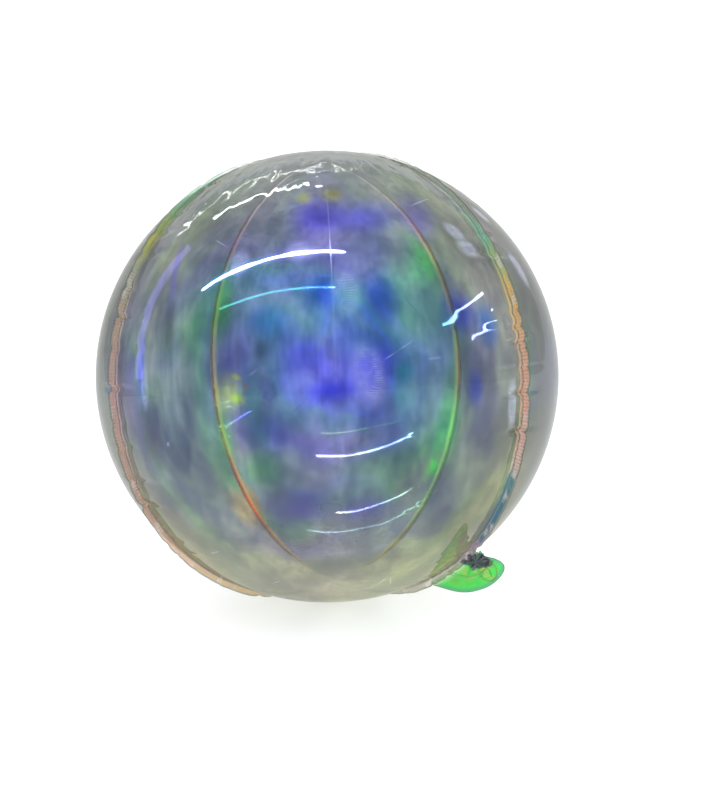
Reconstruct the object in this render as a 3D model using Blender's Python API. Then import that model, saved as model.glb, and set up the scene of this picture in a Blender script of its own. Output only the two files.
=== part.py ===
"""Four-sided foil balloon, inflated and lying on a floor.

Metres, +Z up, floor at z = 0. Four film panels are welded edge to edge from pole to pole, and the
two-ply inflation tail lies against the weld between the front and right panels. The gas space is
sealed, so each panel is drawn as the quarter of the ball behind it.
"""

import math

import bmesh
import bpy
from mathutils import Matrix, Vector

# The inflated ball is a little shorter between its poles than it is wide.
EQUATOR_RADIUS = 0.200
POLAR_RADIUS = 0.195
FLAT_SPOT_RADIUS = 0.025
TOP_FLAT_RADIUS = 0.008

# Neighbouring panels are welded along four fins that stand out of the ball.
PANEL_GAP = 0.0003
WELD_WIDTH = 0.0055
WELD_PLY = 0.001
WELD_END_WIDTH = 0.001
WELD_FULL_UP_TO = math.radians(20.0)
WELD_FULL_DOWN_TO = math.radians(-62.0)

# The inflation tail lies in the plane of the front-right weld, with its root along the weld's edge.
TAIL_LOW_LATITUDE = math.radians(-55.5)
TAIL_ROOT_LENGTH = 0.0524
TAIL_SWEEP_RADIUS = 0.0515
TAIL_SWEEP_OUT = 0.014
TAIL_CORNER_RADIUS = 0.007
TAIL_THICKNESS = 0.0018

LATITUDE_ROWS = 32
PANEL_STEPS = 20
TAIL_STEPS = 12

CENTRE_HEIGHT = POLAR_RADIUS * math.sqrt(1.0 - (FLAT_SPOT_RADIUS / EQUATOR_RADIUS) ** 2)
FLAT_SPOT_LATITUDE = -math.acos(FLAT_SPOT_RADIUS / EQUATOR_RADIUS)
TOP_FLAT_LATITUDE = math.acos(TOP_FLAT_RADIUS / EQUATOR_RADIUS)
TAIL_HIGH_LATITUDE = TAIL_LOW_LATITUDE + TAIL_ROOT_LENGTH / EQUATOR_RADIUS

# Each panel is named for the way it faces; its turn is about +Z from the front, which is -Y.
PANELS = (
    ("front_panel", 0.0, (0.166, 0.191, 0.402)),
    ("right_panel", 90.0, (0.262, 0.283, 0.270)),
    ("back_panel", 180.0, (0.130, 0.196, 0.300)),
    ("left_panel", 270.0, (0.283, 0.262, 0.250)),
)
TAIL_COLOUR = (0.110, 0.527, 0.130)


def clear_scene():
    for thing in list(bpy.data.objects):
        bpy.data.objects.remove(thing, do_unlink=True)


def make_material(name, colour, roughness):
    material = bpy.data.materials.new(name)
    material.use_nodes = True
    shader = material.node_tree.nodes["Principled BSDF"]
    shader.inputs["Base Color"].default_value = (*colour, 1.0)
    shader.inputs["Roughness"].default_value = roughness
    shader.inputs["Metallic"].default_value = 0.0
    return material


def add_object(name, mesh_data, material, smooth):
    bmesh.ops.recalc_face_normals(mesh_data, faces=mesh_data.faces[:])
    mesh = bpy.data.meshes.new(name)
    mesh_data.to_mesh(mesh)
    mesh_data.free()
    mesh.polygons.foreach_set("use_smooth", [smooth] * len(mesh.polygons))
    mesh.materials.append(material)
    thing = bpy.data.objects.new(name, mesh)
    bpy.context.scene.collection.objects.link(thing)
    return thing


def meridian_point(latitude, proud=0.0):
    """Distance from the axis and height of the film, raised by proud along its normal."""
    across = math.cos(latitude)
    up = math.sin(latitude)
    outward = Vector((across / EQUATOR_RADIUS, up / POLAR_RADIUS)).normalized()
    film = Vector((EQUATOR_RADIUS * across, CENTRE_HEIGHT + POLAR_RADIUS * up))
    return film + outward * proud


def weld_edge_point(latitude):
    """Outer edge of the weld fin, which narrows and lies over level towards both poles."""
    upper_fade = (latitude - WELD_FULL_UP_TO) / (TOP_FLAT_LATITUDE - WELD_FULL_UP_TO)
    lower_fade = (latitude - WELD_FULL_DOWN_TO) / (FLAT_SPOT_LATITUDE - WELD_FULL_DOWN_TO)
    fade = max(0.0, upper_fade, lower_fade)
    width = WELD_WIDTH + (WELD_END_WIDTH - WELD_WIDTH) * fade
    lean = latitude * (1.0 - fade)
    return meridian_point(latitude) + width * Vector((math.cos(lean), math.sin(lean)))


def panel_row(latitude):
    """One ring of points around the panel's quarter, which opens towards -Y."""
    film = meridian_point(latitude)
    edge = weld_edge_point(latitude)
    seam_turn = math.radians(45.0)
    inner_face = PANEL_GAP / 2.0
    outer_face = inner_face + WELD_PLY
    root_turn = seam_turn - math.asin(outer_face / film.x)

    def beside_seam(side, along, offset, height):
        """A point at a distance along the seam plane and an offset from it into the panel."""
        x = side * (along * math.sin(seam_turn) - offset * math.cos(seam_turn))
        y = -(along * math.cos(seam_turn) + offset * math.sin(seam_turn))
        return Vector((x, y, height))

    row = [Vector((0.0, -inner_face / math.sin(seam_turn), film.y))]
    row.append(beside_seam(-1.0, edge.x, inner_face, edge.y))
    row.append(beside_seam(-1.0, edge.x, outer_face, edge.y))
    for step in range(PANEL_STEPS + 1):
        turn = root_turn * (2.0 * step / PANEL_STEPS - 1.0)
        row.append(Vector((film.x * math.sin(turn), -film.x * math.cos(turn), film.y)))
    row.append(beside_seam(1.0, edge.x, outer_face, edge.y))
    row.append(beside_seam(1.0, edge.x, inner_face, edge.y))
    return row


def add_ring(mesh_data, points):
    """A closed loop of edges through the points."""
    verts = [mesh_data.verts.new(point) for point in points]
    return [mesh_data.edges.new(pair) for pair in zip(verts, verts[1:] + verts[:1])]


def build_panel(name, turn_degrees, colour):
    mesh_data = bmesh.new()
    rings = []
    for index in range(LATITUDE_ROWS + 1):
        share = index / LATITUDE_ROWS
        latitude = FLAT_SPOT_LATITUDE + (TOP_FLAT_LATITUDE - FLAT_SPOT_LATITUDE) * share
        rings.append(add_ring(mesh_data, panel_row(latitude)))
    for lower, upper in zip(rings, rings[1:]):
        bmesh.ops.bridge_loops(mesh_data, edges=lower + upper)
    bmesh.ops.edgenet_fill(mesh_data, edges=rings[0])
    bmesh.ops.edgenet_fill(mesh_data, edges=rings[-1])
    turn = Matrix.Rotation(math.radians(turn_degrees), 4, "Z")
    bmesh.ops.transform(mesh_data, matrix=turn, verts=mesh_data.verts[:])
    panel = add_object(name, mesh_data, make_material(name + "_film", colour, 0.12), True)
    panel.data.set_sharp_from_angle(angle=math.radians(35.0))
    return panel


def arc_points(centre, radius, start, end, steps):
    """Points along a circle in the seam plane, from one angle to another."""
    points = []
    for step in range(steps + 1):
        angle = start + (end - start) * step / steps
        points.append(centre + radius * Vector((math.cos(angle), math.sin(angle))))
    return points


def tail_outline():
    """Outline in the seam plane: along the weld, out along a level top edge, back on one sweep."""
    root = []
    for step in range(TAIL_STEPS + 1):
        share = step / TAIL_STEPS
        latitude = TAIL_LOW_LATITUDE + (TAIL_HIGH_LATITUDE - TAIL_LOW_LATITUDE) * share
        root.append(meridian_point(latitude, WELD_WIDTH + PANEL_GAP))
    low = root[0]
    top_height = root[-1].y
    rise = math.sqrt(TAIL_SWEEP_RADIUS**2 - TAIL_SWEEP_OUT**2)
    sweep = low + Vector((TAIL_SWEEP_OUT, rise))
    drop = top_height - TAIL_CORNER_RADIUS - sweep.y
    reach = math.sqrt((TAIL_SWEEP_RADIUS - TAIL_CORNER_RADIUS) ** 2 - drop**2)
    corner = sweep + Vector((reach, drop))
    corner_end = math.atan2(drop, reach)
    sweep_start = math.atan2(low.y - sweep.y, low.x - sweep.x)
    outline = root
    outline += arc_points(corner, TAIL_CORNER_RADIUS, math.radians(90.0), corner_end, TAIL_STEPS)
    outline += arc_points(sweep, TAIL_SWEEP_RADIUS, corner_end, sweep_start, 2 * TAIL_STEPS)[1:-1]
    return outline


def build_tail():
    mesh_data = bmesh.new()
    seam_out = Vector((math.sin(math.radians(45.0)), -math.cos(math.radians(45.0)), 0.0))
    seam_side = Vector((-seam_out.y, seam_out.x, 0.0))
    corners = []
    for point in tail_outline():
        place = seam_out * point.x - seam_side * (TAIL_THICKNESS / 2.0)
        corners.append(mesh_data.verts.new((place.x, place.y, point.y)))
    ply = mesh_data.faces.new(corners)
    pushed = bmesh.ops.extrude_face_region(mesh_data, geom=[ply])
    far_side = [piece for piece in pushed["geom"] if isinstance(piece, bmesh.types.BMVert)]
    bmesh.ops.translate(mesh_data, verts=far_side, vec=seam_side * TAIL_THICKNESS)
    return add_object("inflation_tail", mesh_data, make_material("tail_film", TAIL_COLOUR, 0.18), False)


clear_scene()
for panel_name, panel_turn, panel_colour in PANELS:
    build_panel(panel_name, panel_turn, panel_colour)
build_tail()
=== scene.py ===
# %% [markdown]
# A four-sided foil balloon, the clear iridescent kind. Four pointed gores of film are heat-welded
# edge to edge, so the filled ball has four fins running from pole to pole and a flat tail where it
# is blown up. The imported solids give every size. This lesson dresses them: thin film in place of
# the solid quarters, welds with real puckers, and a finish whose tint drifts over the surface.

# %% Load the frame
import math
import random

import bmesh
import bpy
from mathutils import Matrix, Vector, noise


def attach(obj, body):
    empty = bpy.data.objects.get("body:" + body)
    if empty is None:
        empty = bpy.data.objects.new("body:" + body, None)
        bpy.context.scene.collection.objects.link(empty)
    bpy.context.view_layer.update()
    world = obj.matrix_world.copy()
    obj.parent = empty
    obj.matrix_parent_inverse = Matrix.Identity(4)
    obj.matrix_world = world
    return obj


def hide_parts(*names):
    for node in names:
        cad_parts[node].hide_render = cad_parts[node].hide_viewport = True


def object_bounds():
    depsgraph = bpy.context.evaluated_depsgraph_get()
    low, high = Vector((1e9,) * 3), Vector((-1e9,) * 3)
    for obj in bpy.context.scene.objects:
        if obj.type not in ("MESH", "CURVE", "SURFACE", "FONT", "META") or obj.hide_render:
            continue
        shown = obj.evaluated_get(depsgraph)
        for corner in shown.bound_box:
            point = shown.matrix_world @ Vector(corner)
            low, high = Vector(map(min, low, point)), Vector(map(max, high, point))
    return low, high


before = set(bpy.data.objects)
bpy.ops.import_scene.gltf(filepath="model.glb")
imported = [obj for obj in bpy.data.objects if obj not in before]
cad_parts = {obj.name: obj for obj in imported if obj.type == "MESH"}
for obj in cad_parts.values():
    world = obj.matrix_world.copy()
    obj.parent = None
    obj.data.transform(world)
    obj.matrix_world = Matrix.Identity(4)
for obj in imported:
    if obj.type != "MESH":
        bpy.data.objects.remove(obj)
cad_box = [list(corner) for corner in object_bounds()]
print("CAD box", cad_box)

# %% [markdown]
# The ball is a spheroid standing on a small flat spot. Its radius and height are read from the
# frame, and the few sizes that a box can't tell are the real ones: the spot it rests on, the
# width of a weld and the thickness of a ply.

# %% Sizes of the ball
FLAT_SPOT_RADIUS = 0.025
WELD_WIDTH = 0.0055
WELD_END_WIDTH = 0.001
PLY = 0.00014
BALL_RADIUS = cad_box[1][0]
SPOT_COSINE = math.sqrt(1.0 - (FLAT_SPOT_RADIUS / BALL_RADIUS) ** 2)
POLE_RADIUS = cad_box[1][2] / (1.0 + SPOT_COSINE)
CENTRE_HEIGHT = POLE_RADIUS * SPOT_COSINE
CENTRE = Vector((0.0, 0.0, CENTRE_HEIGHT))
print("ball radius", BALL_RADIUS, "pole radius", POLE_RADIUS, "centre height", CENTRE_HEIGHT)

# %% [markdown]
# The camera comes first. A round ball under a lens looks the same from everywhere, so its welds
# fix the view: the camera stands about 0.56 m from the centre, a few degrees above it and to its
# right, and is rolled a little. The lens is worked out for the picture's frame of 720 by 790.

# %% Camera
CAMERA_AZIMUTH = math.radians(3.42)
CAMERA_ELEVATION = math.radians(3.78)
CAMERA_ROLL = math.radians(-2.64)
CAMERA_DISTANCE = 0.5642
FRAME_WIDTH, FRAME_HEIGHT = 720, 790
FOCAL_PIXELS = 612.0
CENTRE_COLUMN, CENTRE_ROW = 327.2, 376.0


def camera_axes(azimuth, elevation, roll):
    """Right, up and back directions of a camera that looks at the ball from an angle."""
    level = Matrix.Rotation(azimuth, 3, "Z") @ Matrix.Rotation(math.radians(90.0) - elevation, 3, "X")
    return level @ Matrix.Rotation(roll, 3, "Z")


camera_data = bpy.data.cameras.new("camera")
camera_data.sensor_width = 36.0
camera_data.lens = FOCAL_PIXELS * camera_data.sensor_width / FRAME_HEIGHT
camera_data.shift_x = (FRAME_WIDTH / 2 - CENTRE_COLUMN) / FRAME_HEIGHT
camera_data.shift_y = (CENTRE_ROW - FRAME_HEIGHT / 2) / FRAME_HEIGHT
camera_data.clip_start = 0.01
camera = bpy.data.objects.new("camera", camera_data)
turn = camera_axes(CAMERA_AZIMUTH, CAMERA_ELEVATION, CAMERA_ROLL)
camera.matrix_world = Matrix.Translation(CENTRE + turn.col[2] * CAMERA_DISTANCE) @ turn.to_4x4()
bpy.context.scene.collection.objects.link(camera)
bpy.context.scene.camera = camera
print("lens", round(camera_data.lens, 2), "mm, camera at", tuple(round(v, 3) for v in camera.location))

# %% [markdown]
# Colours are written as sRGB hex values, the way a colour picker shows them, and one function
# turns them to the linear values that shaders want. A second one adds a node with its settings
# and links, so that each material reads as a short list.

# %% Helpers for colours and nodes
def linear(hex_colour):
    """An sRGB hex colour as linear red, green, blue and alpha."""
    channels = [int(hex_colour[place:place + 2], 16) / 255.0 for place in (0, 2, 4)]
    return [c / 12.92 if c <= 0.04045 else ((c + 0.055) / 1.055) ** 2.4 for c in channels] + [1.0]


def add_node(tree, kind, settings=None, **inputs):
    """A node of that kind; an input is named with _ for a space, and is a value or a link."""
    node = tree.nodes.new("ShaderNode" + kind)
    for name, value in (settings or {}).items():
        setattr(node, name, value)
    for name, value in inputs.items():
        socket = node.inputs[int(name[1:]) if name[1:].isdigit() else name.replace("_", " ")]
        if isinstance(value, bpy.types.NodeSocket):
            tree.links.new(value, socket)
        else:
            socket.default_value = value
    return node


def new_material(name):
    """An empty material, its tree and its output node."""
    material = bpy.data.materials.new(name)
    material.use_nodes = True
    material.node_tree.nodes.clear()
    return material, material.node_tree, material.node_tree.nodes.new("ShaderNodeOutputMaterial")


def ramp(tree, factor, stops):
    """A colour ramp through (place, hex colour) stops."""
    node = add_node(tree, "ValToRGB", Fac=factor)
    elements = node.color_ramp.elements
    while len(elements) < len(stops):
        elements.new(1.0)
    for element, (place, colour) in zip(elements, stops):
        element.position = place
        element.color = linear(colour)
    return node.outputs["Color"]


# %% [markdown]
# The stage is a pale floor that sweeps up into a wall behind, as in a small product studio. The
# light is a row of long strip lamps overhead, because a clear ball is drawn by what it mirrors:
# each strip becomes one bright curved line on the near film and a second, upside down, on the far
# film. A pale world fills the shadows.

# %% Stage
FLOOR_HALF_WIDTH = 3.2
FLOOR_FRONT = -3.0
SWEEP_START = 1.5
SWEEP_RADIUS = 1.3
SWEEP_HEIGHT = 3.6


def build_stage():
    """A floor that turns up into a wall with one round sweep."""
    shape = bmesh.new()
    path = [(FLOOR_FRONT, 0.0), (SWEEP_START, 0.0)]
    for step in range(1, 13):
        angle = math.radians(90.0 * step / 12)
        path.append((SWEEP_START + SWEEP_RADIUS * math.sin(angle), SWEEP_RADIUS * (1.0 - math.cos(angle))))
    path.append((SWEEP_START + SWEEP_RADIUS, SWEEP_HEIGHT))
    verts = [shape.verts.new((-FLOOR_HALF_WIDTH, y, z)) for y, z in path]
    edges = [shape.edges.new(pair) for pair in zip(verts, verts[1:])]
    pushed = bmesh.ops.extrude_edge_only(shape, edges=edges)
    moved = [piece for piece in pushed["geom"] if isinstance(piece, bmesh.types.BMVert)]
    bmesh.ops.translate(shape, verts=moved, vec=(2 * FLOOR_HALF_WIDTH, 0.0, 0.0))
    mesh = bpy.data.meshes.new("stage")
    shape.to_mesh(mesh)
    shape.free()
    mesh.polygons.foreach_set("use_smooth", [True] * len(mesh.polygons))
    stage = bpy.data.objects.new("stage", mesh)
    bpy.context.scene.collection.objects.link(stage)
    return stage


stage = build_stage()
paint, tree, output = new_material("matt_white_studio_paint")
matt = add_node(tree, "BsdfPrincipled", Base_Color=linear("f4f4f2"), Roughness=0.9)
tree.links.new(matt.outputs[0], output.inputs["Surface"])
stage.data.materials.append(paint)

# %% Lights
LAMP_HEIGHT = 1.6
STRIPS = (
    ("strip_front", -0.93, -1.90, 0.33, 0.036, 80.0),
    ("strip_far_front", -1.72, -2.00, 0.30, 0.022, 6.0),
    ("strip_above", 0.32, -1.05, -0.05, 0.026, 6.0),
    ("strip_behind", 0.78, -1.60, 0.25, 0.016, 3.0),
)


def add_area_light(name, location, size, watts, target=None, colour="ffffff"):
    """An area light that shines straight down, or at a target."""
    data = bpy.data.lights.new(name, "AREA")
    data.shape = "RECTANGLE"
    data.size, data.size_y = size
    data.energy = watts
    data.color = linear(colour)[:3]
    lamp = bpy.data.objects.new(name, data)
    lamp.location = location
    if target is not None:
        lamp.rotation_euler = (Vector(target) - Vector(location)).to_track_quat("-Z", "Y").to_euler()
    bpy.context.scene.collection.objects.link(lamp)
    return lamp


for name, y, left, right, width, watts in STRIPS:
    strip = add_area_light(
        name, ((left + right) / 2, y, CENTRE_HEIGHT + LAMP_HEIGHT), (right - left, width), watts
    )
    strip.visible_diffuse = False
ceiling = add_area_light("soft_ceiling", (0.0, 0.95, CENTRE_HEIGHT + LAMP_HEIGHT + 0.1), (4.4, 2.1), 12.0)


def towards(azimuth, elevation, distance=2.0):
    """A place seen from the ball's centre in a direction, in degrees from the front."""
    turn, rise = math.radians(azimuth), math.radians(elevation)
    level = math.cos(rise)
    return CENTRE + distance * Vector((level * math.sin(turn), -level * math.cos(turn), math.sin(rise)))


def add_slanted_strip(name, first, last, width, watts, colour="ffffff"):
    """A strip lamp from one place to another, which faces the ball."""
    lamp = add_area_light(name, (0.0, 0.0, 0.0), ((last - first).length, width), watts, colour=colour)
    along = (last - first).normalized()
    away = (first + last) / 2 - CENTRE
    away = (away - along * away.dot(along)).normalized()
    lamp.matrix_world = Matrix.Translation((first + last) / 2) @ Matrix(
        (along, away.cross(along), away)).transposed().to_4x4()
    return lamp


add_slanted_strip("strip_right", towards(58.0, 20.5), towards(88.0, 27.0), 0.030, 6.0, "d4e4ff")
add_slanted_strip("strip_right_low", towards(70.0, 12.5), towards(88.0, 17.0), 0.024, 2.6, "d4e4ff")
add_slanted_strip("strip_left", towards(-87.0, 2.0), towards(-96.0, 46.0), 0.16, 3.2, "a89cff")
floor_fill = add_area_light("floor_fill", (0.0, -1.0, 4.5), (5.0, 5.0), 200.0)
floor_fill.data.use_shadow = False
floor_fill.visible_glossy = False
world = bpy.data.worlds.new("pale_studio")
bpy.context.scene.world = world
world.use_nodes = True
world.node_tree.nodes["Background"].inputs["Color"].default_value = linear("eceef0")
world.node_tree.nodes["Background"].inputs["Strength"].default_value = 1.1
bpy.context.scene.view_settings.view_transform = "Standard"

# %% [markdown]
# Each gore is one sheet: its dome, and along both long edges the margin that is welded to its
# neighbour's. A meridian is drawn as a line of points and spun a quarter turn, and the edges at
# both ends are pushed out to make the margins. A sheet this stiff can't shrink where it is welded,
# so it puckers: short dents run in from the weld, and the fin sways with them. Both panels at one
# weld share its list of puckers, so their margins stay face to face.

# %% Puckers along the welds
ROWS_ALONG = 320
COLUMNS_ACROSS = 120
SEAM_TURN = math.radians(45.0)
SIDE_GAP = math.radians(0.012)
MERIDIAN_LENGTH = math.pi * (BALL_RADIUS + POLE_RADIUS) / 2
LOWEST = -math.acos(FLAT_SPOT_RADIUS / BALL_RADIUS)
WELD_FULL_UP_TO = math.radians(20.0)
WELD_FULL_DOWN_TO = math.radians(-62.0)


def pucker_list(seed):
    """Places, depths, half widths, reaches and fin sways of the puckers along one weld."""
    draw = random.Random(seed)
    puckers = []
    place = 0.06
    while place < MERIDIAN_LENGTH - 0.05:
        strong = draw.random() < 0.22
        depth = draw.uniform(0.0007, 0.0014) if strong else draw.uniform(0.0001, 0.0005)
        reach = draw.uniform(0.012, 0.026) if strong else draw.uniform(0.004, 0.010)
        sway = draw.uniform(-0.0005, 0.0005) if strong else draw.uniform(-0.0002, 0.0002)
        puckers.append((place, depth, draw.uniform(0.0012, 0.0030), reach, sway))
        place += draw.uniform(0.005, 0.016)
    return puckers


FOLDS = ((0, 2.0), (0, 17.0), (0, -24.0), (1, -2.2), (1, -10.0), (1, 8.0), (1, 11.0), (2, 12.0), (3, -6.0))
WELD_PUCKERS = {number: pucker_list(40 + number) for number in range(4)}
for weld, degrees in FOLDS:
    WELD_PUCKERS[weld].append(((degrees + 90.0) / 180.0 * MERIDIAN_LENGTH, 0.0026, 0.0016, 0.014, 0.0008))


def near_puckers(weld, along):
    """The puckers of a weld that touch one distance along it, with how much each counts there."""
    for place, depth, half_width, reach, sway in WELD_PUCKERS[weld]:
        off = (along - place) / half_width
        if abs(off) < 3.0:
            yield math.exp(-off * off), depth, reach, sway


print("puckers on each weld", [len(found) for found in WELD_PUCKERS.values()])

# %% The shape of one meridian
def meridian_point(latitude, lift=0.0):
    """A point of the film in the XZ plane, raised along the film's normal."""
    across, up = math.cos(latitude), math.sin(latitude)
    outward = Vector((across / BALL_RADIUS, 0.0, up / POLE_RADIUS)).normalized()
    return Vector((BALL_RADIUS * across, 0.0, CENTRE_HEIGHT + POLE_RADIUS * up)) + outward * lift


def weld_reach(latitude):
    """How far and in which direction the weld's outer edge lies from the film."""
    upper = (latitude - WELD_FULL_UP_TO) / (math.radians(90.0) - WELD_FULL_UP_TO)
    lower = (latitude - WELD_FULL_DOWN_TO) / (LOWEST - WELD_FULL_DOWN_TO)
    fade = min(1.0, max(0.0, upper, lower))
    width = WELD_WIDTH + (WELD_END_WIDTH - WELD_WIDTH) * fade
    lean = latitude * (1.0 - fade)
    return width, Vector((math.cos(lean), 0.0, math.sin(lean)))


def meridian_rows():
    """Latitudes of the rows, from the lower pole to the upper one."""
    return [math.radians(-90.0) + math.radians(180.0) * row / ROWS_ALONG for row in range(ROWS_ALONG + 1)]


CREASED = ((math.radians(31.0), math.radians(12.5)), (math.radians(-30.0), math.radians(1.0)))


def facet(point):
    """Flat facets at random tilts, as in film that was once crushed by hand."""
    distances, middles = noise.voronoi(point)
    total = weight_sum = 0.0
    for distance, middle in zip(distances, middles):
        weight = 1.0 / (distance ** 14 + 0.000001)
        total += weight * noise.noise_vector(middle * 3.7).dot(point - middle)
        weight_sum += weight
    return total / weight_sum


# %% Build the film panels
def film_lift(latitude, azimuth, facing, weld_left, weld_right):
    """How far the film stands off the smooth ball: puckers, pull creases and a slow ripple."""
    along = (latitude + math.radians(90.0)) / math.pi * MERIDIAN_LENGTH
    lift = 0.0
    ring = max(0.0, math.cos(latitude))
    for weld, side in ((weld_left, -1.0), (weld_right, 1.0)):
        off_seam = max(0.0, SEAM_TURN - side * azimuth) * BALL_RADIUS * ring
        for share, depth, reach, _ in near_puckers(weld, along):
            lift -= share * depth * math.exp(-((off_seam / reach) ** 1.5))
    turned = azimuth + facing
    steep = math.degrees(latitude)
    crinkled = max(0.0, min(1.0, (steep - 36.0) / 14.0), min(0.25, (-steep - 62.0) / 60.0)) * ring ** 0.5
    pleat = noise.noise(Vector((turned * 34.0, latitude * 5.0, 1.7)))
    fold = noise.noise(Vector((turned * 13.0, latitude * 9.0, 4.1)))
    lift -= crinkled * (0.0007 * abs(pleat) + 0.0009 * abs(fold))
    for middle_turn, middle_latitude in CREASED:
        near = ((turned - middle_turn) * 6.5) ** 2 + ((latitude - middle_latitude) * 6.0) ** 2
        if near < 6.0:
            lift += 0.00026 * facet(Vector((turned * 15.0 + latitude * 9.0, latitude * 19.0, 2.2))) * math.exp(-near)
    ripple = noise.noise(Vector((turned * 4.0, latitude * 3.0, 9.3)))
    return lift + 0.0003 * ripple * ring


def build_panel(name, facing_degrees, weld_left, weld_right):
    """One gore with its two weld margins, as a mesh whose UV map runs across and along it."""
    facing = math.radians(facing_degrees)
    shape = bmesh.new()
    fin_layer = shape.verts.layers.float.new("fin")
    latitude_layer = shape.verts.layers.float.new("latitude")
    verts = []
    for latitude in meridian_rows():
        vert = shape.verts.new(meridian_point(latitude))
        vert[latitude_layer] = latitude
        verts.append(vert)
    edges = [shape.edges.new(pair) for pair in zip(verts, verts[1:])]
    start = Matrix.Rotation(-math.radians(90.0) - SEAM_TURN + SIDE_GAP, 3, "Z")
    bmesh.ops.rotate(shape, verts=verts, cent=(0, 0, 0), matrix=start)
    bmesh.ops.spin(
        shape, geom=verts + edges, cent=(0, 0, 0), axis=(0, 0, 1),
        angle=2 * (SEAM_TURN - SIDE_GAP), steps=COLUMNS_ACROSS,
    )
    bmesh.ops.remove_doubles(shape, verts=shape.verts[:], dist=0.00001)
    for vert in shape.verts:
        azimuth = math.atan2(vert.co.x, -vert.co.y)
        latitude = vert[latitude_layer]
        lift = film_lift(latitude, azimuth, facing, weld_left, weld_right)
        flat = meridian_point(latitude, lift)
        vert.co = Vector((flat.x * math.sin(azimuth), -flat.x * math.cos(azimuth), max(flat.z, 0.0002)))
    add_margins(shape, fin_layer, latitude_layer, (weld_left, weld_right))
    bmesh.ops.rotate(shape, verts=shape.verts[:], cent=(0, 0, 0), matrix=Matrix.Rotation(facing, 3, "Z"))
    bmesh.ops.recalc_face_normals(shape, faces=shape.faces[:])
    write_panel_uv(shape, fin_layer, latitude_layer, facing)
    mesh = bpy.data.meshes.new(name)
    shape.to_mesh(mesh)
    shape.free()
    mesh.polygons.foreach_set("use_smooth", [True] * len(mesh.polygons))
    mesh.set_sharp_from_angle(angle=math.radians(40.0))
    panel = bpy.data.objects.new(name, mesh)
    bpy.context.scene.collection.objects.link(panel)
    return panel


def add_margins(shape, fin_layer, latitude_layer, welds):
    """Pushes both long edges out into weld margins, which sway with the weld's puckers."""
    for side, weld in ((-1.0, welds[0]), (1.0, welds[1])):
        inward = Vector((-side * math.cos(SEAM_TURN), -math.sin(SEAM_TURN), 0.0))
        outward = Vector((side * math.sin(SEAM_TURN), -math.cos(SEAM_TURN), 0.0))
        sway_way = Vector((math.cos(SEAM_TURN), side * math.sin(SEAM_TURN), 0.0))
        rim = [
            edge for edge in shape.edges
            if edge.is_boundary and all(vert.co.x * side > 0.0 or vert.co.xy.length < 0.001 for vert in edge.verts)
        ]
        for step in (1, 2):
            pushed = bmesh.ops.extrude_edge_only(shape, edges=rim)
            moved = [piece for piece in pushed["geom"] if isinstance(piece, bmesh.types.BMVert)]
            rim = [piece for piece in pushed["geom"] if isinstance(piece, bmesh.types.BMEdge)]
            rim = [edge for edge in rim if all(vert in set(moved) for vert in edge.verts)]
            for vert in moved:
                latitude = vert[latitude_layer]
                width, lean = weld_reach(latitude)
                along = (latitude + math.radians(90.0)) / math.pi * MERIDIAN_LENGTH
                sway = sum(share * found for share, _, _, found in near_puckers(weld, along))
                wander = 0.0003 * noise.noise(Vector((along * 90.0, weld * 7.0, 0.0)))
                push = (width + wander) / 2.0
                vert.co += (outward * lean.x + Vector((0.0, 0.0, lean.z))) * push
                vert.co += sway_way * sway * 0.5
                vert.co.z = max(vert.co.z, 0.0002)
                vert[fin_layer] = side * step / 2.0


def write_panel_uv(shape, fin_layer, latitude_layer, facing):
    """U runs from weld to weld with a tenth over for each margin, and V from pole to pole."""
    uv = shape.loops.layers.uv.new("gore")
    back = Matrix.Rotation(-facing, 3, "Z")
    for face in shape.faces:
        middle = back @ face.calc_center_median()
        middle_turn = math.atan2(middle.x, -middle.y)
        on_fin = False
        for loop in face.loops:
            vert = loop.vert
            fin = vert[fin_layer]
            place = back @ vert.co
            turn = math.atan2(place.x, -place.y) if place.xy.length > 0.0005 else middle_turn
            across = max(-1.0, min(1.0, turn / SEAM_TURN))
            if fin:
                across = math.copysign(1.0, fin) + 0.1 * fin
                on_fin = True
            loop[uv].uv = (0.5 + across / 2.2, 0.5 + vert[latitude_layer] / math.pi)
        face.material_index = 1 if on_fin else 0


PANELS = (
    ("front_panel", "front_film", 0.0, 0, 1),
    ("right_panel", "right_film", 90.0, 1, 2),
    ("back_panel", "back_film", 180.0, 2, 3),
    ("left_panel", "left_film", 270.0, 3, 0),
)
films = {}
for node_name, piece_name, facing_degrees, weld_left, weld_right in PANELS:
    film = build_panel(piece_name, facing_degrees, weld_left, weld_right)
    films[node_name] = film
    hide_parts(node_name)
    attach(film, "root")
    print(piece_name, len(film.data.polygons), "faces")

# %% [markdown]
# The film is clear polyester with a stack of very thin coatings. Each coating mirrors one colour
# and lets the rest pass, so the sheet looks tinted from one side and mirrors another tint. The
# tint depends on how far the film was stretched as the ball filled: violet and blue where it
# bulges in the middle of a gore, then green, slate and grey out to the welds. A Transparent
# shader carries what passes and a Principled shader what is mirrored, and a Fresnel weight makes
# the film more of a mirror where it is seen at a slant.

# %% Where a point lies on its gore
def gore_place(tree):
    """Signed shares across and along the gore, and the share of the way out from its middle."""
    uv = add_node(tree, "UVMap", {"uv_map": "gore"})
    parts = add_node(tree, "SeparateXYZ", Vector=uv.outputs["UV"])
    across = add_node(tree, "Math", {"operation": "MULTIPLY_ADD"}, _0=parts.outputs["X"], _1=2.2, _2=-1.1)
    along = add_node(tree, "Math", {"operation": "MULTIPLY_ADD"}, _0=parts.outputs["Y"], _1=2.0, _2=-1.0)
    steep = add_node(tree, "Math", {"operation": "MULTIPLY"}, _0=along.outputs[0], _1=2.0)
    flat = add_node(tree, "CombineXYZ", X=across.outputs[0], Y=steep.outputs[0])
    out = add_node(tree, "VectorMath", {"operation": "LENGTH"}, _0=flat.outputs[0])
    return across.outputs[0], along.outputs[0], out.outputs["Value"]


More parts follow.
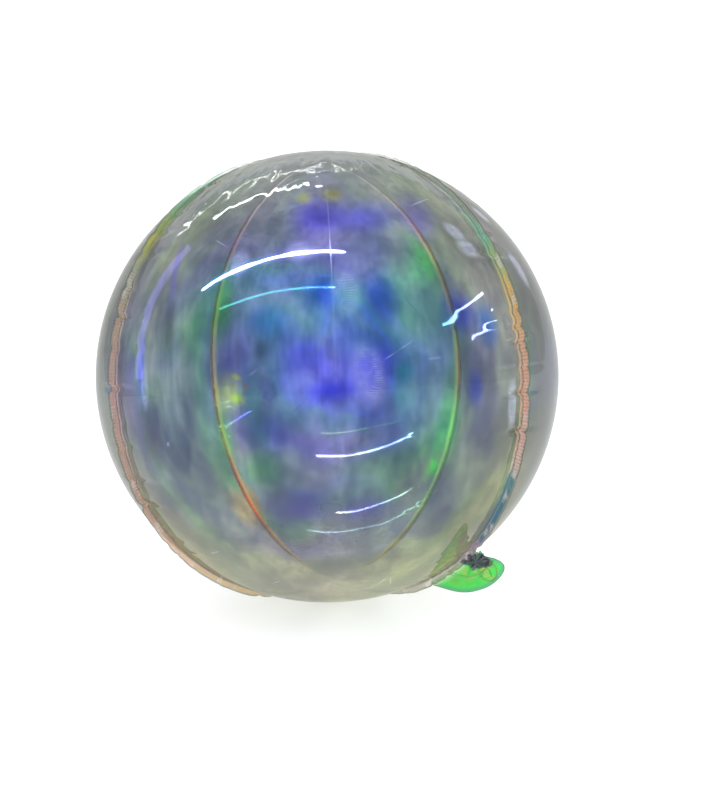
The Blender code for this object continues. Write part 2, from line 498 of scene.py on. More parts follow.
def stretched_noise(tree, scale, height_share, detail=2.0, roughness=0.5):
    """Noise on the object's own coordinates, in features per metre, drawn out along the height."""
    place = add_node(tree, "TexCoord")
    squeezed = add_node(tree, "Mapping", Vector=place.outputs["Object"], Scale=(1.0, 1.0, height_share))
    texture = add_node(
        tree, "TexNoise", Vector=squeezed.outputs[0], Scale=scale, Detail=detail, Roughness=roughness
    )
    return texture.outputs["Fac"]


def shifted(tree, base, wobble, amount):
    """A value moved up or down by noise, by at most half the amount."""
    centred = add_node(tree, "Math", {"operation": "MULTIPLY_ADD"}, _0=wobble, _1=amount, _2=-amount / 2)
    return add_node(tree, "Math", {"operation": "ADD"}, _0=base, _1=centred.outputs[0]).outputs[0]


# %% [markdown]
# Handling leaves its marks on film this glossy: fingertips, a smear, a few scratches and the line
# where the sheet lay folded in its packet. Each one is an ellipse on the ball, at an azimuth and a
# latitude in degrees, with half sizes in millimetres. A Mapping node of the texture kind brings
# the ellipse to a unit circle, so the distance from its middle is its mask.

# %% Marks on the film
MM = 0.001
FINGERTIPS = (
    (7.6, 19.1, 10.0, 17.0, 0.0), (-1.1, 27.7, 9.0, 8.0, 20.0), (-13.4, 26.0, 7.5, 8.5, -10.0),
    (35.7, 32.0, 9.0, 6.0, 40.0), (37.5, 28.0, 10.0, 6.5, 20.0), (54.0, 38.8, 8.0, 5.0, 50.0),
    (55.0, 24.0, 7.0, 15.0, -15.0), (41.5, -4.2, 5.0, 17.0, 0.0), (10.5, 4.0, 12.0, 22.0, -12.0),
    (-34.0, 2.6, 4.5, 15.0, 0.0), (100.0, 8.0, 9.0, 15.0, 10.0), (112.0, 12.0, 8.0, 14.0, 0.0),
    (205.0, -8.0, 10.0, 16.0, 15.0), (258.0, 20.0, 9.0, 15.0, -20.0),
)
SCRATCHES = (
    (5.2, 24.0, 0.2, 100.0, 0.8), (-19.0, 31.0, 0.35, 7.0, -60.0), (11.6, 1.5, 0.45, 6.0, -65.0),
    (23.0, 6.0, 0.5, 5.5, 85.0), (-27.9, -35.0, 0.4, 7.0, 70.0), (-14.4, -44.9, 0.4, 5.0, 65.0),
    (-29.0, -8.5, 1.1, 1.6, 30.0), (-5.0, 47.0, 0.35, 10.0, 60.0), (30.0, 40.0, 0.35, 12.0, 70.0),
    (17.0, -46.0, 0.5, 6.0, 30.0), (20.0, -47.0, 0.5, 7.0, -20.0), (14.0, -49.0, 0.4, 6.0, 70.0),
    (-9.0, -57.0, 0.5, 6.0, 20.0), (-13.0, -55.0, 0.4, 7.0, -40.0), (-11.0, -59.0, 0.4, 5.0, 60.0),
    (17.5, 8.5, 0.45, 7.0, 62.0), (14.5, 6.8, 0.45, 5.0, 62.0), (-9.5, 5.0, 0.4, 4.0, 55.0),
    (150.0, 20.0, 0.5, 26.0, 35.0), (195.0, -15.0, 0.5, 20.0, -50.0), (80.0, -20.0, 0.6, 15.0, 40.0),
)


def on_gores(marks, facings):
    """The marks whose middle lies on a gore that faces one of these ways, in degrees."""
    return [
        mark for mark in marks
        if any(abs((mark[0] - facing + 180.0) % 360.0 - 180.0) < 47.0 for facing in facings)
    ]


def mark_mask(tree, place, marks, softness):
    """The strongest of several elliptical marks at each point, from 0 to 1."""
    strongest = None
    for azimuth, latitude, half_width, half_height, lean in marks:
        flat = meridian_point(math.radians(latitude))
        turn = math.radians(azimuth)
        middle = (flat.x * math.sin(turn), -flat.x * math.cos(turn), flat.z)
        unit = add_node(
            tree, "Mapping", {"vector_type": "TEXTURE"}, Vector=place, Location=middle,
            Rotation=(0.0, math.radians(lean), turn), Scale=(half_width * MM, 0.08, half_height * MM),
        )
        away = add_node(tree, "VectorMath", {"operation": "LENGTH"}, _0=unit.outputs[0])
        mask = add_node(
            tree, "MapRange", {"interpolation_type": "SMOOTHSTEP"}, Value=away.outputs["Value"],
            From_Min=1.0 + softness / 2, From_Max=1.0 - softness, To_Min=0.0, To_Max=1.0,
        ).outputs[0]
        if strongest is not None:
            mask = add_node(tree, "Math", {"operation": "MAXIMUM"}, _0=strongest, _1=mask).outputs[0]
        strongest = mask
    return strongest


def fingerprints(tree, place, facings):
    """Fingertip marks with their ridges, drawn 1.4 mm apart, twice the real pitch, to show at all."""
    mask = mark_mask(tree, place, on_gores(FINGERTIPS, facings), 0.45)
    ridges = add_node(
        tree, "TexWave", {"wave_type": "BANDS", "bands_direction": "Z"}, Vector=place,
        Scale=220.0, Distortion=7.0, Detail=0.0, Detail_Scale=0.35,
    )
    worn = add_node(tree, "TexNoise", Vector=place, Scale=160.0, Detail=2.0)
    broken = add_node(tree, "Math", {"operation": "MULTIPLY_ADD"}, _0=ridges.outputs["Fac"], _1=0.16, _2=0.36)
    patchy = add_node(
        tree, "MapRange", Value=worn.outputs["Fac"], From_Min=0.35, From_Max=0.62, To_Min=0.7, To_Max=1.0
    )
    grained = add_node(tree, "Math", {"operation": "MULTIPLY"}, _0=broken.outputs[0], _1=patchy.outputs[0])
    return add_node(tree, "Math", {"operation": "MULTIPLY"}, _0=mask, _1=grained.outputs[0]).outputs[0]


# %% [markdown]
# Next to a weld the film is drawn in and its coatings crowd together, so a narrow band mirrors
# warm colours, olive and orange at the back and pink and teal in front. The same tints colour
# the weld itself, so they are worked out once.

# %% Tints of the welds
def ramp_mask(tree, value, none_at, full_at):
    """A soft mask from 0 at one value to 1 at another."""
    return add_node(
        tree, "MapRange", {"interpolation_type": "SMOOTHSTEP"}, Value=value,
        From_Min=none_at, From_Max=full_at, To_Min=0.0, To_Max=1.0,
    ).outputs[0]


WELD_LEFT = (
    (0.05, "d8d2b8"), (0.18, "dcc088"), (0.26, "dcb894"), (0.38, "dcb8ac"), (0.50, "e4c0b8"),
    (0.60, "dcc4b0"), (0.655, "c0ccb4"), (0.70, "e6e420"), (0.75, "80dcac"), (0.85, "c8d0cc"), (0.95, "c8ccc8"),
)
WELD_RIGHT = (
    (0.05, "ccc8b4"), (0.22, "c8c4b8"), (0.285, "b090b8"), (0.315, "3c84b0"), (0.385, "58a4b4"), (0.41, "f4d4cc"),
    (0.46, "f8c4b4"), (0.54, "f8ccb0"), (0.60, "f6d890"), (0.64, "d4e0a4"), (0.67, "88d4bc"), (0.72, "c0d4c8"),
    (0.95, "c8cac8"),
)
WELD_BACK_LEFT = (
    (0.05, "ece080"), (0.17, "f8cc50"), (0.21, "ffa020"), (0.30, "ff9c18"), (0.35, "f0cc50"), (0.50, "e4c470"),
    (0.65, "e0c470"), (0.75, "e8bc98"), (0.92, "d8d4c8"),
)
WELD_BACK_RIGHT = (
    (0.05, "ece080"), (0.15, "e0d468"), (0.25, "c0dc68"), (0.38, "c8dc70"), (0.50, "ecb868"), (0.56, "e0c870"),
    (0.66, "e0b070"), (0.76, "e8bc98"), (0.92, "d8d4c8"),
)


def choose(tree, factor, first, second):
    """Two colours mixed by a factor."""
    return add_node(tree, "Mix", {"data_type": "RGBA"}, _0=factor, _6=first, _7=second).outputs[2]


def weld_tint(tree, along):
    """The tint of the nearest weld at this height, wandering a little."""
    height = add_node(tree, "Math", {"operation": "MULTIPLY_ADD"}, _0=along, _1=0.5, _2=0.5)
    level = shifted(tree, height.outputs[0], stretched_noise(tree, 60.0, 1.0, 3.0), 0.07)
    place = add_node(tree, "SeparateXYZ", Vector=add_node(tree, "TexCoord").outputs["Object"])
    right_side = add_node(tree, "Math", {"operation": "GREATER_THAN"}, _0=place.outputs["X"], _1=0.0)
    behind = add_node(tree, "Math", {"operation": "GREATER_THAN"}, _0=place.outputs["Y"], _1=0.0)
    front = choose(tree, right_side.outputs[0], ramp(tree, level, WELD_LEFT), ramp(tree, level, WELD_RIGHT))
    back_left, back_right = ramp(tree, level, WELD_BACK_LEFT), ramp(tree, level, WELD_BACK_RIGHT)
    back = choose(tree, right_side.outputs[0], back_left, back_right)
    return choose(tree, behind.outputs[0], front, back)


# %% Film material
THROUGH_OUTWARD = (
    (0.00, "bab8ee"), (0.15, "a09cf4"), (0.24, "acb8cc"), (0.33, "9cbcf0"), (0.42, "94d8a0"),
    (0.50, "b4bcb8"), (0.58, "bcbade"), (0.68, "bec8bc"), (0.78, "cccbce"), (0.88, "c8c8c0"), (1.00, "cccbbc"),
)
THROUGH_ACROSS = (
    (0.00, "b8b4f0"), (0.30, "a4b4e2"), (0.50, "9cc8cc"), (0.66, "a6d49e"), (0.80, "bcc0ac"), (1.00, "cac8bc"),
)
MIRROR_FRONT = (
    (0.08, "c0bc98"), (0.24, "a8a89c"), (0.36, "8c94b0"), (0.46, "6a74d0"), (0.54, "4c7cd0"),
    (0.575, "38c8a0"), (0.61, "20b8e8"), (0.64, "5a78f4"), (0.69, "9a90f8"), (0.76, "a8a4d0"), (0.85, "bcbcbc"),
)
MIRROR_BACK = (
    (0.08, "e0d8b0"), (0.13, "ffd8c0"), (0.165, "c860ff"), (0.20, "ff98f0"), (0.225, "fff088"), (0.27, "ffc8c0"),
    (0.32, "ffffff"), (0.35, "fff850"), (0.375, "48ff58"), (0.42, "50c8e0"), (0.50, "5868e8"), (0.60, "6a68e0"),
    (0.75, "a0a0c8"), (0.88, "bcbcbc"),
)
MIRROR_SIDE = (
    (0.08, "c8c0a0"), (0.25, "aca698"), (0.38, "a2a29a"), (0.50, "a6a6a8"), (0.62, "9ea4a2"),
    (0.75, "acacac"), (0.90, "bcbcb8"),
)


def darkened(tree, colour, darker):
    """One colour multiplied by another."""
    return add_node(
        tree, "Mix", {"data_type": "RGBA", "blend_type": "MULTIPLY"}, _0=1.0, _6=colour, _7=darker
    ).outputs[2]


HEIGHT_CAST = (
    (0.20, "fffcea"), (0.32, "fcfadc"), (0.42, "fafce4"), (0.50, "ffffff"), (0.62, "ffffff"), (0.85, "fbfbf6"),
)
THROUGH_SIDE = (
    (0.00, "a6a4e8"), (0.10, "9a9ce8"), (0.18, "9cb8e0"), (0.25, "a0ccac"), (0.32, "acb0a8"), (0.45, "b2b6a8"), (0.62, "a9a9ae"), (0.76, "b2b2a4"), (1.00, "b4b4a4"),
)
SPOTS_FRONT = (
    ((-3.0, -21.0, 20.0, 13.0, 0.0), "7c76ea"), ((10.0, -22.0, 22.0, 12.0, 0.0), "8888e8"),
    ((-7.6, -5.5, 16.0, 12.0, 0.0), "7c8cf0"), ((-9.0, -13.0, 15.0, 12.0, 0.0), "80c4a0"),
    ((12.0, -13.0, 22.0, 9.0, 0.0), "98c0ac"), ((-16.0, 19.0, 7.0, 24.0, 0.0), "7ccc70"),
    ((25.5, 24.0, 8.0, 20.0, -20.0), "74cc70"), ((-16.0, -7.0, 8.0, 30.0, 0.0), "80c48c"),
    ((26.0, -6.0, 7.0, 32.0, 0.0), "80cc90"), ((-8.0, 9.0, 5.0, 9.0, 0.0), "70809c"),
    ((12.0, 5.5, 22.0, 17.0, 0.0), "8478ff"), ((2.0, 36.0, 17.0, 16.0, 0.0), "7468ff"),
    ((27.0, 36.0, 14.0, 18.0, 20.0), "8c80ff"), ((13.8, 17.0, 11.0, 18.0, 0.0), "746cff"),
    ((3.4, 19.3, 12.0, 12.0, 0.0), "6670ff"), ((-7.0, 14.0, 12.0, 11.0, 0.0), "7098ff"),
    ((3.6, 1.0, 16.0, 8.0, 0.0), "6460ff"), ((31.4, 0.0, 7.0, 12.0, 0.0), "6480ff"),
    ((36.0, 11.5, 10.0, 15.0, 0.0), "50a0ff"), ((29.5, 14.0, 14.0, 14.0, 0.0), "4058ff"),
    ((-14.2, 1.5, 9.0, 12.0, 0.0), "e8ffa8"), ((-14.5, -21.5, 8.0, 14.0, -20.0), "ffe8c0"),
    ((22.5, -14.5, 6.0, 8.0, 30.0), "c0ffb0"), ((17.0, 4.0, 6.0, 7.0, 0.0), "5cb4d8"),
    ((-33.5, -6.5, 10.0, 24.0, 0.0), "949868"), ((-28.0, 14.0, 7.0, 16.0, 0.0), "989c84"),
    ((-29.6, 26.0, 3.5, 22.0, -10.0), "aca4ff"), ((-35.0, 6.0, 4.0, 20.0, 0.0), "7880ff"),
    # The last two spots, pale yellow near the top of the front film, are painted glows: light painted into the film's
    # tint.
    ((6.8, 42.2, 7.0, 6.0, 0.0), "fffa60"), ((-0.5, 41.5, 5.5, 5.0, 0.0), "f0f488"),
)
SPOTS_BACK = (
    ((160.0, 56.0, 46.0, 14.0, 0.0), "8078ff"), ((142.0, 36.0, 20.0, 30.0, 0.0), "80d080"),
    ((-149.0, -14.0, 17.0, 60.0, 0.0), "84d490"), ((139.0, -26.0, 14.0, 46.0, 0.0), "88d88c"),
    ((-168.0, 4.0, 26.0, 22.0, 0.0), "98a4f0"), ((164.0, -20.0, 30.0, 26.0, 0.0), "9498ec"),
    # The yellow and orange spots at azimuths -143.5 and -147 are painted highlights: sparkles that stand in for lamps
    # glinting in wrinkles by the back-left weld.
    ((-143.5, -2.0, 9.0, 4.0, -25.0), "f4ff20"), ((-143.5, -10.0, 10.0, 7.0, -20.0), "dcff08"),
    ((-147.0, -6.0, 3.5, 3.5, 0.0), "ffb020"), ((137.3, -36.6, 6.0, 12.0, 40.0), "50ff38"),
    ((-137.5, -48.0, 6.5, 20.0, 0.0), "ff9a08"),
)
SPOTS_SIDE = (((95.0, 10.0, 20.0, 60.0, 0.0), "a6b4a8"), ((265.0, -6.0, 22.0, 50.0, 0.0), "b0a8bc"))


def film_material(name, facings, mirror_share, stops, spots, seam_share, seam_start, coat_nanometres, foot_share):
    """Clear coated film; the stops are outward, across, mirrored and outer mirrored tints."""
    outward_stops, across_stops, mirror_stops, outer_stops = stops
    material, tree, output = new_material(name)
    across, along, out = gore_place(tree)
    place = add_node(tree, "TexCoord").outputs["Object"]
    broad = stretched_noise(tree, 15.0, 0.8, 1.0)
    fine = stretched_noise(tree, 27.0, 0.7, 2.0, 0.5)
    streaks = stretched_noise(tree, 150.0, 0.04, 1.0)
    outward = add_node(tree, "Math", {"operation": "MULTIPLY"}, _0=out, _1=0.8).outputs[0]
    outward = shifted(tree, shifted(tree, outward, broad, 0.70), fine, 0.14)
    width_share = add_node(tree, "Math", {"operation": "ABSOLUTE"}, _0=across).outputs[0]
    sideways = shifted(tree, width_share, broad, 0.4)
    through = choose(tree, 0.42, ramp(tree, outward, outward_stops), ramp(tree, sideways, across_stops))
    for ellipse, colour in spots:
        spot = mark_mask(tree, place, (ellipse,), 0.9)
        spot = add_node(tree, "Math", {"operation": "MULTIPLY"}, _0=spot, _1=0.95).outputs[0]
        through = choose(tree, spot, through, linear(colour))
    # Painted light: towards the bottom the film is made nearly clear and pale, to lighten it where the ball's own
    # shadow darkens the floor seen through it.
    through = choose(tree, ramp_mask(tree, along, -0.50, -0.86), through, linear("f2efde"))
    through = darkened(tree, through, ramp(tree, fine, ((0.38, "c4c6d2"), (0.60, "ffffff"))))
    through = darkened(tree, through, ramp(tree, streaks, ((0.42, "f2f2f5"), (0.56, "ffffff"))))
    height = add_node(tree, "Math", {"operation": "MULTIPLY_ADD"}, _0=along, _1=0.5, _2=0.5)
    level = shifted(tree, height.outputs[0], fine, 0.16)
    through = darkened(tree, through, ramp(tree, level, HEIGHT_CAST))
    slanted = add_node(tree, "LayerWeight", Blend=0.5).outputs["Facing"]
    shaded = darkened(tree, through, ramp(tree, slanted, ((0.62, "ffffff"), (0.98, "a4a8a4"))))
    # The darkening at a slant is kept off the lower part, so that the painted light at the bottom stays.
    through = choose(tree, ramp_mask(tree, along, -0.55, -0.25), through, shaded)

    mirrored = ramp(tree, shifted(tree, height.outputs[0], broad, 0.05), mirror_stops)
    prints = fingerprints(tree, place, facings)
    scratches = mark_mask(tree, place, on_gores(SCRATCHES, facings), 0.6)
    scratches = add_node(tree, "Math", {"operation": "MULTIPLY"}, _0=scratches, _1=0.45).outputs[0]
    marks = add_node(tree, "Math", {"operation": "MAXIMUM"}, _0=prints, _1=scratches).outputs[0]
    seam = add_node(
        tree, "MapRange", {"interpolation_type": "SMOOTHSTEP"},
        Value=width_share, From_Min=seam_start, From_Max=0.984, To_Min=0.0, To_Max=1.0,
    ).outputs[0]
    welded = weld_tint(tree, along)
    through = choose(tree, seam, through, choose(tree, 0.1, welded, linear("ffffff")))
    outer = choose(tree, ramp_mask(tree, along, -0.25, -0.50), ramp(tree, out, outer_stops), linear("e2dfc6"))
    mirrored = choose(tree, ramp_mask(tree, out, 0.80, 0.55), outer, mirrored)
    tint = choose(tree, marks, mirrored, linear("c0c4f4"))
    tint = choose(tree, seam, tint, welded)
    tint = darkened(tree, tint, ramp(tree, slanted, ((0.70, "ffffff"), (0.90, "c4c8c0"), (0.99, "74786e"))))

    clear = add_node(tree, "BsdfTransparent", Color=through)
    haze = add_node(tree, "Math", {"operation": "MULTIPLY_ADD"}, _0=scratches, _1=0.3, _2=0.055)
    crinkle = add_node(tree, "TexNoise", Vector=place, Scale=210.0, Detail=3.0)
    bumped = add_node(
        tree, "Bump", Strength=ramp_mask(tree, along, 0.40, 0.75), Distance=0.00024, Height=crinkle.outputs["Fac"]
    )
    bare = add_node(tree, "Math", {"operation": "MULTIPLY_ADD"}, _0=marks, _1=-0.55, _2=0.6)
    shiny = add_node(
        tree, "BsdfPrincipled", Base_Color=tint, Metallic=bare.outputs[0], Roughness=haze.outputs[0], IOR=1.6,
        Coat_Weight=0.35, Coat_Roughness=0.03, Thin_Film_Thickness=coat_nanometres, Thin_Film_IOR=1.75,
        Normal=bumped.outputs[0],
    )
    edge = add_node(tree, "LayerWeight", Blend=0.5)
    slant = add_node(tree, "Math", {"operation": "POWER"}, _0=edge.outputs["Facing"], _1=2.2)
    share = add_node(tree, "Math", {"operation": "MULTIPLY_ADD"}, _0=slant.outputs[0], _1=0.44, _2=mirror_share)
    share = add_node(tree, "Math", {"operation": "MULTIPLY_ADD"}, _0=marks, _1=0.62, _2=share.outputs[0])
    foot = ramp_mask(tree, along, -0.42, -0.60)
    share = add_node(tree, "Math", {"operation": "MULTIPLY_ADD"}, _0=foot, _1=foot_share, _2=share.outputs[0])
    share = add_node(
        tree, "Math", {"operation": "MULTIPLY_ADD", "use_clamp": True}, _0=seam, _1=seam_share, _2=share.outputs[0]
    )
    mixed = add_node(tree, "MixShader", _0=share.outputs[0], _1=clear.outputs[0], _2=shiny.outputs[0])
    tree.links.new(mixed.outputs[0], output.inputs["Surface"])
    return material


# %% [markdown]
# A weld is two films melted together between heated jaws. It no longer stretches, so its coatings
# stay thick and mirror warm colours. The jaws press a row of fine teeth, about 2.5 mm apart, and
# leave a paler line along both edges.

# %% Weld material
TOOTH_PITCH = 2.5 * MM


def weld_material(name):
    material, tree, output = new_material(name)
    across, along, out = gore_place(tree)
    width_share = add_node(tree, "Math", {"operation": "ABSOLUTE"}, _0=across).outputs[0]
    middle = add_node(tree, "Math", {"operation": "MULTIPLY_ADD"}, _0=width_share, _1=20.0, _2=-21.0)
    middle = add_node(tree, "Math", {"operation": "ABSOLUTE"}, _0=middle.outputs[0])
    border = ramp_mask(tree, middle.outputs[0], 0.80, 0.94)
    core = ramp_mask(tree, middle.outputs[0], 0.66, 0.48)
    beat = add_node(tree, "Math", {"operation": "MULTIPLY"}, _0=along, _1=MERIDIAN_LENGTH / 2 / TOOTH_PITCH)
    tooth = add_node(tree, "Math", {"operation": "PINGPONG"}, _0=beat.outputs[0], _1=0.5)
    teeth = ramp(tree, tooth.outputs[0], ((0.05, "e8e4e4"), (0.18, "ffffff")))
    patches = stretched_noise(tree, 110.0, 0.6, 2.0)
    welded = weld_tint(tree, along)
    tint = choose(tree, ramp_mask(tree, patches, 0.52, 0.70), welded, linear("f2ece6"))
    tint = choose(tree, core, linear("c2c4b6"), tint)
    tint = darkened(tree, choose(tree, border, tint, linear("98908c")), teeth)
    seen_through = choose(tree, core, linear("d4d8cc"), choose(tree, 0.6, welded, linear("fcfaf8")))
    seen_through = choose(tree, border, seen_through, linear("aaa49e"))
    depth = add_node(tree, "SeparateXYZ", Vector=add_node(tree, "TexCoord").outputs["Object"]).outputs["Y"]
    behind = add_node(tree, "Math", {"operation": "GREATER_THAN"}, _0=depth, _1=0.0).outputs[0]
    # Painted light: the welds on the far half of the ball are made paler and clearer than the near ones, so that seen
    # edge on through the film they don't show as dark lines.
    seen_through = choose(tree, behind, seen_through, choose(tree, 0.25, welded, linear("ffffff")))
    clear = add_node(tree, "BsdfTransparent", Color=seen_through)
    press = add_node(tree, "Bump", Strength=0.2, Distance=0.0002, Height=tooth.outputs[0])
    shiny = add_node(
        tree, "BsdfPrincipled", Base_Color=tint, Metallic=0.2, Roughness=0.25,
        IOR=1.6, Coat_Weight=0.5, Coat_Roughness=0.08, Normal=press.outputs[0],
    )
    upper = ramp_mask(tree, along, 0.45, 0.30)
    share = add_node(tree, "Math", {"operation": "MULTIPLY_ADD"}, _0=upper, _1=0.25, _2=0.15)
    # On the far half the weld mirrors less and lets more through, as part of the same painted light.
    share = add_node(tree, "Math", {"operation": "MULTIPLY_ADD", "use_clamp": True}, _0=behind, _1=-0.34, _2=share.outputs[0])
    mixed = add_node(tree, "MixShader", _0=share.outputs[0], _1=clear.outputs[0], _2=shiny.outputs[0])
    tree.links.new(mixed.outputs[0], output.inputs["Surface"])
    return material


OUTER_VIOLET = ((0.72, "8884d8"), (0.86, "9c9abc"), (0.98, "a4a49c"))
OUTER_GREY = ((0.60, "9c9c94"), (1.00, "a4a49a"))
FRONT_STOPS = (THROUGH_OUTWARD, THROUGH_ACROSS, MIRROR_FRONT, OUTER_VIOLET)
BACK_STOPS = (THROUGH_OUTWARD, THROUGH_ACROSS, MIRROR_BACK, OUTER_VIOLET)
SIDE_STOPS = (THROUGH_SIDE, THROUGH_SIDE, MIRROR_SIDE, OUTER_GREY)
side_finish = film_material("iridescent_film_side", (90.0, 270.0), 0.10, SIDE_STOPS, SPOTS_SIDE, 0.15, 0.974, 0.0, 0.0)
finishes = {
    "front_panel": film_material("iridescent_film_front", (0.0,), 0.10, FRONT_STOPS, SPOTS_FRONT, 0.15, 0.974, 430.0, 0.0),
    "right_panel": side_finish,
    "back_panel": film_material("iridescent_film_back", (180.0,), 0.24, BACK_STOPS, SPOTS_BACK, -0.16, 0.956, 430.0, 0.34),
    "left_panel": side_finish,
}
weld_finish = weld_material("heat_welded_film")
for node_name, film in films.items():
    film.data.materials.append(finishes[node_name])
    film.data.materials.append(weld_finish)

# %% [markdown]
# The tail is where the ball was filled. The films of two gores run on past their weld as a flat
# tongue, welded round its rim, with a valve of two more plies inside. Once full it flops shut and
# gathers. It is made as a strip from its root on the weld to its outer rim: two chains of edges
# are bridged, cut finer across, and pushed through for the second ply. Then both plies are
# puffed away from the welded rim and folded around the gather.

# %% Outline of the tail
SEAM_OUT = Vector((math.sin(SEAM_TURN), -math.cos(SEAM_TURN), 0.0))
SEAM_SIDE = Vector((math.cos(SEAM_TURN), math.sin(SEAM_TURN), 0.0))
TAIL_LOW = math.radians(-55.5)
TAIL_HIGH = TAIL_LOW + 0.0524 / BALL_RADIUS
TAIL_OVERLAP = 0.003
TAIL_CUTS = 44
RIM_WELD = 0.0026
GATHER = Vector((0.1572, 0.0, 0.0575))
TAIL_RIM = (
    (0.1150, 0.0280), (0.1225, 0.0283), (0.1308, 0.0286), (0.1403, 0.0296), (0.1496, 0.0320),
    (0.1586, 0.0360), (0.1674, 0.0414), (0.1745, 0.0480), (0.1790, 0.0545), (0.1800, 0.0590),
    (0.1780, 0.0618), (0.1735, 0.0631), (0.1680, 0.0634),
)


def smooth_through(corners, steps):
    """A smooth line through points in the XZ plane, with that many steps between each two."""
    spots = [Vector((x, 0.0, z)) for x, z in corners]
    spots = [2 * spots[0] - spots[1]] + spots + [2 * spots[-1] - spots[-2]]
    line = []
    for before, first, second, after in zip(spots, spots[1:], spots[2:], spots[3:]):
        for step in range(steps):
            t = step / steps
            bend = (2 * before - 5 * first + 4 * second - after) * t ** 2
            twist = (3 * first - before - 3 * second + after) * t ** 3
            line.append(0.5 * (2 * first + (second - before) * t + bend + twist))
    return line + [spots[-2]]


def add_chain(shape, points):
    """Vertices at the points, joined by edges."""
    verts = [shape.verts.new(point) for point in points]
    return [shape.edges.new(pair) for pair in zip(verts, verts[1:])]


# %% Build the tail
def rim_distance(point, rim):
    """How far a point lies inside the tail's rim."""
    return min((point - other).length for other in rim)


def tail_offsets(point, inside):
    """The shared fold and each ply's own puff at a point, both along the seam's side."""
    from_gather = point - GATHER
    near = from_gather.length / 0.013
    spokes = math.sin(7.0 * math.atan2(from_gather.z, from_gather.x) + 3.0 * noise.noise(point * 130.0))
    fold = 0.0016 * spokes * math.exp(-near * near) * min(1.0, near * 1.4)
    fold += 0.0010 * noise.noise(point * 75.0) * min(1.0, inside / 0.006)
    fold += 0.0020 * max(0.0, (point.x - 0.135) / 0.045) ** 2
    puffed = max(0.0, min(1.0, (inside - RIM_WELD) / 0.008))
    puff = 0.0002 + 0.0016 * puffed * puffed * (3.0 - 2.0 * puffed) * (1.0 - 0.8 * math.exp(-near * near))
    return fold, puff


def build_tail():
    shape = bmesh.new()
    rim = smooth_through(TAIL_RIM, 8)
    root = []
    for row in range(len(rim)):
        share = row / (len(rim) - 1)
        root.append(meridian_point(TAIL_LOW + (TAIL_HIGH - TAIL_LOW) * share, WELD_WIDTH - TAIL_OVERLAP))
    bmesh.ops.bridge_loops(shape, edges=add_chain(shape, root) + add_chain(shape, rim))
    across = [edge for edge in shape.edges if not edge.is_boundary]
    ends = [edge for edge in shape.edges if edge.is_boundary and len(edge.verts[0].link_edges) == 2
            and len(edge.verts[1].link_edges) == 2]
    bmesh.ops.subdivide_edges(shape, edges=across + ends, cuts=TAIL_CUTS, use_grid_fill=True)
    shape.verts.ensure_lookup_table()
    top = [root[-1].lerp(rim[-1], step / 24) for step in range(25)]
    whole_rim = rim + top
    rim_layer = shape.verts.layers.float.new("rim")
    root_layer = shape.verts.layers.float.new("root")
    places = {}
    for vert in shape.verts:
        inside = rim_distance(vert.co, whole_rim)
        vert[rim_layer] = min(1.0, inside / 0.01)
        vert[root_layer] = min(1.0, rim_distance(vert.co, root) / 0.02)
        ragged = max(0.0, 1.0 - abs(vert.co.x - 0.160) / 0.012) * max(0.0, 1.0 - inside / 0.004)
        if vert.co.z > root[-1].z - 0.004:
            vert.co.z += 0.004 * ragged * abs(noise.noise(Vector((vert.co.x * 420.0, 3.0, 0.0))))
        places[vert] = (vert.co.copy(), inside)
    pushed = bmesh.ops.extrude_face_region(shape, geom=shape.faces[:])
    second = [piece for piece in pushed["geom"] if isinstance(piece, bmesh.types.BMVert)]
    for vert in second:
        vert[rim_layer] = min(1.0, rim_distance(vert.co, whole_rim) / 0.01)
        vert[root_layer] = min(1.0, rim_distance(vert.co, root) / 0.02)
        places[vert] = (vert.co.copy(), rim_distance(vert.co, whole_rim))
    far_side = set(second)
    for vert, (place, inside) in places.items():
        fold, puff = tail_offsets(place, inside)
        offset = fold + (puff if vert in far_side else -puff)
        vert.co = SEAM_OUT * place.x + SEAM_SIDE * offset + Vector((0.0, 0.0, place.z))
    bmesh.ops.recalc_face_normals(shape, faces=shape.faces[:])
    uv = shape.loops.layers.uv.new("tongue")
    for face in shape.faces:
        for loop in face.loops:
            loop[uv].uv = (loop.vert.co.dot(SEAM_OUT) * 5.0, loop.vert.co.z * 5.0)
    mesh = bpy.data.meshes.new("tail_tongue")
    shape.to_mesh(mesh)
    shape.free()
    mesh.polygons.foreach_set("use_smooth", [True] * len(mesh.polygons))
    tail = bpy.data.objects.new("tail_tongue", mesh)
    bpy.context.scene.collection.objects.link(tail)
    return tail


tail = build_tail()
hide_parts("inflation_tail")
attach(tail, "root")

# %% [markdown]
# The tail is the same film with a green cast, and two plies deep. Its welded rim is darker, the
# valve shows as a fine oval line, and the gather traps dust and shadow in its folds.

# %% Tail material
def oval(tree, place, middle, half_sizes, lean=0.0):
    """Distance from the middle of an oval in the tail's plane, 1 on the oval itself."""
    unit = add_node(
        tree, "Mapping", {"vector_type": "TEXTURE"}, Vector=place,
        Location=(middle[0] * 5.0, middle[1] * 5.0, 0.0), Rotation=(0.0, 0.0, math.radians(lean)),
        Scale=(half_sizes[0] * 5.0, half_sizes[1] * 5.0, 1.0),
    )
    return add_node(tree, "VectorMath", {"operation": "LENGTH"}, _0=unit.outputs[0]).outputs["Value"]


def on_line(tree, distance, half_width):
    """A mask that is 1 where a distance is close to 1."""
    return ramp_mask(tree, add_node(tree, "Math", {"operation": "ABSOLUTE"}, _0=add_node(
        tree, "Math", {"operation": "SUBTRACT"}, _0=distance, _1=1.0).outputs[0]).outputs[0], half_width, 0.0)


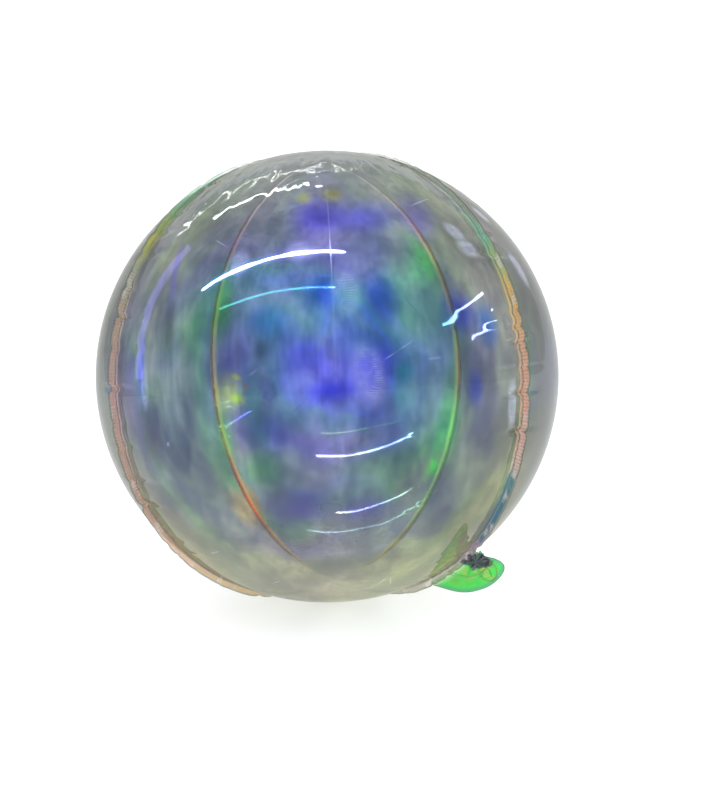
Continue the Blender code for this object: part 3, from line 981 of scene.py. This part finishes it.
def tail_material(name):
    material, tree, output = new_material(name)
    place = add_node(tree, "UVMap", {"uv_map": "tongue"}).outputs["UV"]
    rim = add_node(tree, "Attribute", {"attribute_name": "rim"}).outputs["Fac"]
    blotches = add_node(tree, "TexNoise", Vector=place, Scale=14.0, Detail=3.0)
    through = ramp(tree, blotches.outputs["Fac"], (
        (0.28, "b4d898"), (0.40, "98ea98"), (0.52, "90e498"), (0.60, "cede9c"), (0.70, "a4e4b4"),
    ))
    edge_band = ramp_mask(tree, rim, 0.36, 0.20)
    through = choose(tree, edge_band, through, linear("9cd8b4"))
    outline = ramp_mask(tree, rim, 0.08, 0.02)
    from_root = add_node(tree, "Attribute", {"attribute_name": "root"}).outputs["Fac"]
    through = choose(tree, ramp_mask(tree, from_root, 0.34, 0.06), through, linear("ecf0e4"))
    valve = on_line(tree, oval(tree, place, (0.1655, 0.0530), (0.0085, 0.0080)), 0.16)
    seam = on_line(tree, oval(tree, place, (0.1460, 0.0560), (0.0220, 0.0125), 18.0), 0.08)
    gather_away = oval(tree, place, (0.1572, 0.0580), (0.0150, 0.0062), 12.0)
    ragged = add_node(tree, "TexNoise", Vector=place, Scale=34.0, Detail=4.0)
    gather = ramp_mask(tree, shifted(tree, gather_away, ragged.outputs["Fac"], 1.6), 1.05, 0.75)
    dark = add_node(tree, "Math", {"operation": "MAXIMUM"}, _0=gather, _1=outline).outputs[0]
    lines = add_node(tree, "Math", {"operation": "MAXIMUM"}, _0=valve, _1=seam).outputs[0]
    clear = add_node(tree, "BsdfTransparent", Color=through)
    tint = choose(tree, lines, linear("78e888"), linear("8c8458"))
    tint = choose(tree, dark, tint, linear("3c3450"))
    creases = add_node(tree, "Bump", Strength=0.35, Distance=0.001, Height=ragged.outputs["Fac"])
    shiny = add_node(
        tree, "BsdfPrincipled", Base_Color=tint, Metallic=0.2, Roughness=0.22, IOR=1.6,
        Coat_Weight=0.4, Coat_Roughness=0.05, Normal=creases.outputs[0],
    )
    edge = add_node(tree, "LayerWeight", Blend=0.2)
    share = add_node(tree, "Math", {"operation": "MULTIPLY_ADD"}, _0=edge.outputs["Fresnel"], _1=0.4, _2=0.10)
    share = add_node(tree, "Math", {"operation": "MULTIPLY_ADD"}, _0=lines, _1=0.35, _2=share.outputs[0])
    share = add_node(
        tree, "Math", {"operation": "MULTIPLY_ADD", "use_clamp": True}, _0=dark, _1=0.6, _2=share.outputs[0]
    )
    mixed = add_node(tree, "MixShader", _0=share.outputs[0], _1=clear.outputs[0], _2=shiny.outputs[0])
    tree.links.new(mixed.outputs[0], output.inputs["Surface"])
    return material


tail.data.materials.append(tail_material("green_valve_film"))
